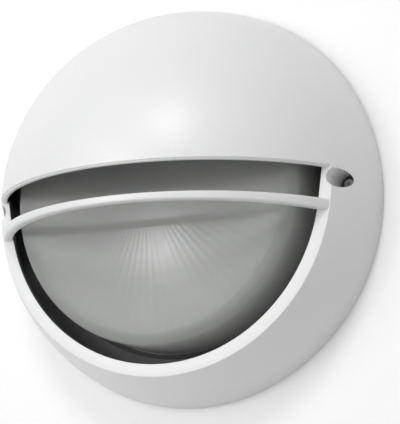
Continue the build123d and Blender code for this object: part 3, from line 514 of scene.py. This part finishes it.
def makeCover():
    shell = toObject(domeShell(), "cover_shell", [coatWhite, paintedShadeGrey])
    combine(shell, [toObject(screwPost(side), "post", []) for side in (-1, 1)], "UNION")
    tools = [toObject(windowTool(), "tool", [])]
    beyond = 140.0   # past the front of the dome
    through = 30.0   # past the floor of a recess
    for side in (-1, 1):
        place = (side * cover["screwX"], cover["screwZ"])
        bores = (cylinder(*place, cover["recess"], cover["recessFloor"], beyond),
                 cylinder(*place, cover["screwHole"], 0, through, 32))
        tools += [toObject(bore, "tool", []) for bore in bores]
    combine(shell, tools, "DIFFERENCE")

    bm = bmesh.new()
    bm.from_mesh(shell.data)
    bmesh.ops.remove_doubles(bm, verts=bm.verts, dist=0.005 * mm)
    # Rounds the sharp edges at the rim, on the frame's face and along the eyelid
    front = cover["windowDepth"]
    close = 0.01
    sharp = []
    for e in bm.edges:
        if len(e.link_faces) != 2 or e.calc_face_angle(0) < radians(30):
            continue
        ends = [v.co for v in e.verts]
        onRim = all(depthOf(c) < cover["rimGap"] + close for c in ends)
        onFrame = all(abs(depthOf(c) - front) < close for c in ends)
        onLid = all(abs(c.z / mm - cover["eyelid"]) < 0.3 and depthOf(c) > front - 0.1 for c in ends)
        if onRim or onFrame or onLid:
            sharp.append(e)
    bevelEdges(bm, sharp, cover["edge"])
    # Painted shade grey on the inner half of the wall, powder coat on the rest
    ballCentre = Vector((0, ballBehind * mm, 0))
    for f in bm.faces:
        middle = f.calc_center_median()
        inside = (middle - ballCentre).length / mm < wallMiddle and depthOf(middle) < front - 1.0
        f.material_index = 1 if inside and not isRecess(middle, 0.1) else 0
    bm.to_mesh(shell.data)
    bm.free()
    shell.data.shade_smooth()
    shell.data.set_sharp_from_angle(angle=radians(32))
    return shell


def makeWeb():
    # Inner web that the glass seats against, and the clip bosses on it, all in the painted shade grey
    back, front = cover["webBack"], cover["webFront"]
    hole = cover["webHole"]
    outer = ballAt(wallMiddle, (back + front) / 2)
    bm = spunProfile([(hole, back), (outer, back), (outer, front), (hole, front)], cover["rings"])
    for quarter in range(4):
        angle = radians(45 + 90 * quarter)
        boss = cylinder(cover["clipAxis"] * cos(angle), cover["clipAxis"] * sin(angle), cover["clipBoss"],
                        cover["clipBossBack"], back + 0.5, 32)
        mesh = bpy.data.meshes.new("boss")
        boss.to_mesh(mesh)
        boss.free()
        bm.from_mesh(mesh)
        bpy.data.meshes.remove(mesh)
    return toObject(bm, "cover_web", [paintedShadeGrey])


for piece in (makeCover(), hoop("crossbar", crossbar), hoop("eyelid_lip", lip), makeWeb()):
    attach(piece, "cover")
    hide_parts("front_cover")
print("cover done")


# Glass bowl

glass = {
    "crown": 66.0,
    "crownRise": 4.0,
    "shoulder": 95.55,
    "root": 97.11,
    "flangeFront": 17.3,
    "flangeBack": 13.3,
    "flange": 107.31,
    "wall": 3.5,
    "shoulderRound": 8.0,
    "innerRound": 4.5,
    "rootRound": 0.7,
    "edgeRound": 0.6,
    "crownSteps": 14,
    "ribs": 72,
    "stepsPerRib": 8,
    "outerRib": 0.05,        # rib height on the outside
    "innerRib": 0.8,         # and on the inside
    "ribStart": 12.0,        # ribs fade in from this radius
    "ribFull": 90.0,
    "ribFoot": 2.0,          # and end this far before the flange
    "ribFootFade": 8.0,      # after fading over this length
    "crownBand": 6.0,        # behind the shoulder, up to where the crown is taken to reach
}


def makeGlass():
    g = glass
    shoulderDepth = g["crown"] - g["crownRise"]
    innerShoulder = g["shoulder"] - g["wall"]

    def crownLine(crown, radius, end):
        # Shallow dome of the front, from the axis towards the shoulder
        across = [end * i / g["crownSteps"] for i in range(g["crownSteps"])]
        return [(x, crown - g["crownRise"] * (x / radius) ** 2, 0) for x in across]

    outer = crownLine(g["crown"], g["shoulder"], g["shoulder"] - g["shoulderRound"])
    edge = [(g["shoulder"], shoulderDepth, g["shoulderRound"]),
            (g["root"], g["flangeFront"], g["rootRound"]),
            (g["flange"], g["flangeFront"], g["edgeRound"]),
            (g["flange"], g["flangeBack"], g["edgeRound"]),
            (g["root"] - g["wall"], g["flangeBack"], g["edgeRound"]),
            (innerShoulder, shoulderDepth - g["wall"], g["innerRound"])]
    inner = crownLine(g["crown"] - g["wall"], innerShoulder, innerShoulder - g["innerRound"])
    points = roundedOutline(outer + edge + inner[::-1], 8)
    bm = bmesh.new()
    verts = [bm.verts.new((x * mm, -y * mm, 0)) for x, y in points]
    edges = [bm.edges.new(pair) for pair in zip(verts, verts[1:])]
    bmesh.ops.spin(bm, geom=verts + edges, cent=(0, 0, 0), axis=(0, 1, 0), dvec=(0, 0, 0),
                   angle=tau, steps=g["ribs"] * g["stepsPerRib"], use_merge=True, use_duplicate=False)
    cleaned(bm)
    bm.normal_update()
    # Sinks the valleys between the ribs into both faces
    normals = {v: v.normal.copy() for v in bm.verts}
    isInner = {}
    for v in bm.verts:
        radius = sqrt(v.co.x ** 2 + v.co.z ** 2) / mm
        depth = depthOf(v.co)
        fade = min(1, max(0, (radius - g["ribStart"]) / (g["ribFull"] - g["ribStart"])))
        foot = min(1, max(0, (depth - g["flangeFront"] - g["ribFoot"]) / g["ribFootFade"]))
        onCrown = depth > shoulderDepth - g["crownBand"]
        isOuter = normals[v].y < -0.02 if onCrown else normals[v].dot(Vector((v.co.x, 0, v.co.z))) > 0
        isInner[v] = not isOuter
        height = g["outerRib"] if isOuter else g["innerRib"]
        turn = atan2(v.co.z, v.co.x)
        v.co += normals[v] * height * mm * fade * foot * (cos(g["ribs"] * turn) - 1) / 2
    for f in bm.faces:
        f.material_index = 1 if all(isInner[v] for v in f.verts) else 0
    return toObject(bm, "ribbed_glass", [glassPolished, glassFrosted], 60)


bowl = makeGlass()
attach(bowl, "cover")
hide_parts("glass_diffuser")
print("glass done")


# Studio

stage = {
    "wallGap": 0.2,
    "floorDrop": 450.0,
    "half": 3000.0,
    "wall": "#F4F4F4",
    "floor": "#E6E6E4",
    "bounce": "#DCDCDC",     # what both give back to the lamp
    "glow": 0.20,            # straight rays only, so the wall reads white and keeps the shadow
    "world": 0.45,
}
# Each light's direction is seen from the lamp; sizes and distances in millimetres, power in watts
lights = {
    # Big soft key from the left, for the falling tone of the dome
    "key": {"towards": (-0.40, -0.92, 0.115), "distance": 1540, "size": 1000, "power": 6.0},
    # Small one beside it, for the bright patch on the glass
    "spark": {"towards": (-0.40, -0.92, 0.09), "distance": 1540, "size": 60, "power": 1.1},
    # From above and in front, for the highlight on the dome
    "top": {"towards": (0.10, -0.80, 0.60), "distance": 1500, "size": 420, "power": 5.5},
    # Fill for the underside
    "low": {"towards": (0.10, -0.75, -0.65), "distance": 1500, "size": 900, "power": 4.0},
}
camera = {
    "azimuth": 24.4057,      # degrees, from the lamp's right
    "elevation": -11.5901,   # looking up from a little below
    "roll": -0.7549,
    "distance": 910.0,
    "target": (28.98, -52.0, -15.17),
    "focalPixels": 1492.83,
    "longSidePixels": 424,
}


def backdropMaterial(name, colour):
    # Matt paint that glows a little in straight rays, gives back less in the others and is clear from behind
    material, tree, output, _ = startMaterial(name)
    paint = addNode(tree, "ShaderNodeBsdfDiffuse", {"Color": linear(colour), "Roughness": 0.5})
    bounce = addNode(tree, "ShaderNodeBsdfDiffuse", {"Color": linear(stage["bounce"]), "Roughness": 0.5})
    shine = addNode(tree, "ShaderNodeEmission", {"Color": (1, 1, 1, 1), "Strength": stage["glow"]})
    lit = addNode(tree, "ShaderNodeAddShader", {0: paint.outputs[0], 1: shine.outputs[0]})
    path = addNode(tree, "ShaderNodeLightPath")
    straight = addNode(tree, "ShaderNodeMath", {
        0: path.outputs["Is Camera Ray"], 1: path.outputs["Is Glossy Ray"]}, operation="ADD", use_clamp=True)
    front = addNode(tree, "ShaderNodeMixShader", {
        "Fac": straight.outputs[0], 1: bounce.outputs[0], 2: lit.outputs[0]})
    behind = addNode(tree, "ShaderNodeNewGeometry")
    clear = addNode(tree, "ShaderNodeBsdfTransparent")
    both = addNode(tree, "ShaderNodeMixShader", {
        "Fac": behind.outputs["Backfacing"], 1: front.outputs[0], 2: clear.outputs[0]})
    tree.links.new(both.outputs[0], output.inputs["Surface"])
    return material


def makeBackdrop():
    # White wall behind the lamp and a pale floor under it
    wall = bmesh.new()
    bmesh.ops.create_grid(wall, x_segments=4, y_segments=4, size=stage["half"] * mm)
    bmesh.ops.rotate(wall, verts=wall.verts, cent=(0, 0, 0), matrix=Matrix.Rotation(radians(90), 3, "X"))
    bmesh.ops.translate(wall, verts=wall.verts, vec=(0, stage["wallGap"] * mm, 0))
    toObject(wall, "wall", [backdropMaterial("wallMattWhite", stage["wall"])])
    floor = bmesh.new()
    bmesh.ops.create_grid(floor, x_segments=4, y_segments=4, size=stage["half"] * mm)
    bmesh.ops.translate(floor, verts=floor.verts, vec=(0, -stage["half"] * mm, -stage["floorDrop"] * mm))
    toObject(floor, "floor", [backdropMaterial("floorMattPale", stage["floor"])])


def makeWorld():
    # Even white surround, dimmer as a light than it looks
    world = bpy.data.worlds.new("studio")
    bpy.context.scene.world = world
    world.use_nodes = True
    tree = world.node_tree
    tree.nodes.clear()
    path = addNode(tree, "ShaderNodeLightPath")
    seen = addNode(tree, "ShaderNodeMath", {
        0: path.outputs["Is Camera Ray"], 1: path.outputs["Is Transmission Ray"]}, operation="MAXIMUM")
    strength = ranged(tree, seen.outputs[0], stage["world"], 1.0)
    back = addNode(tree, "ShaderNodeBackground", {"Color": (1, 1, 1, 1), "Strength": strength})
    addNode(tree, "ShaderNodeOutputWorld", {"Surface": back.outputs[0]})


def makeLights():
    for name, light in lights.items():
        data = bpy.data.lights.new(name, "AREA")
        data.shape = "DISK"
        data.size = light["size"] * mm
        data.energy = light["power"]
        obj = bpy.data.objects.new(name, data)
        bpy.context.scene.collection.objects.link(obj)
        towards = Vector(light["towards"]).normalized()
        obj.location = towards * light["distance"] * mm
        obj.rotation_mode = "QUATERNION"
        obj.rotation_quaternion = (-towards).to_track_quat("-Z", "Y")


def makeCamera():
    data = bpy.data.cameras.new("photo")
    data.sensor_width = 36
    data.lens = camera["focalPixels"] / camera["longSidePixels"] * data.sensor_width
    obj = bpy.data.objects.new("photo", data)
    bpy.context.scene.collection.objects.link(obj)
    a, e = radians(camera["azimuth"]), radians(camera["elevation"])
    back = Vector((sin(a) * cos(e), -cos(a) * cos(e), sin(e)))
    obj.location = Vector(camera["target"]) * mm + back * camera["distance"] * mm
    obj.rotation_mode = "QUATERNION"
    roll = Quaternion((0, 0, 1), radians(camera["roll"]))
    obj.rotation_quaternion = (-back).to_track_quat("-Z", "Y") @ roll
    data.clip_start, data.clip_end = 0.01, 100
    bpy.context.scene.camera = obj


makeBackdrop()
makeWorld()
makeLights()
makeCamera()
bpy.context.scene.view_settings.view_transform = "Standard"
print("stage done")
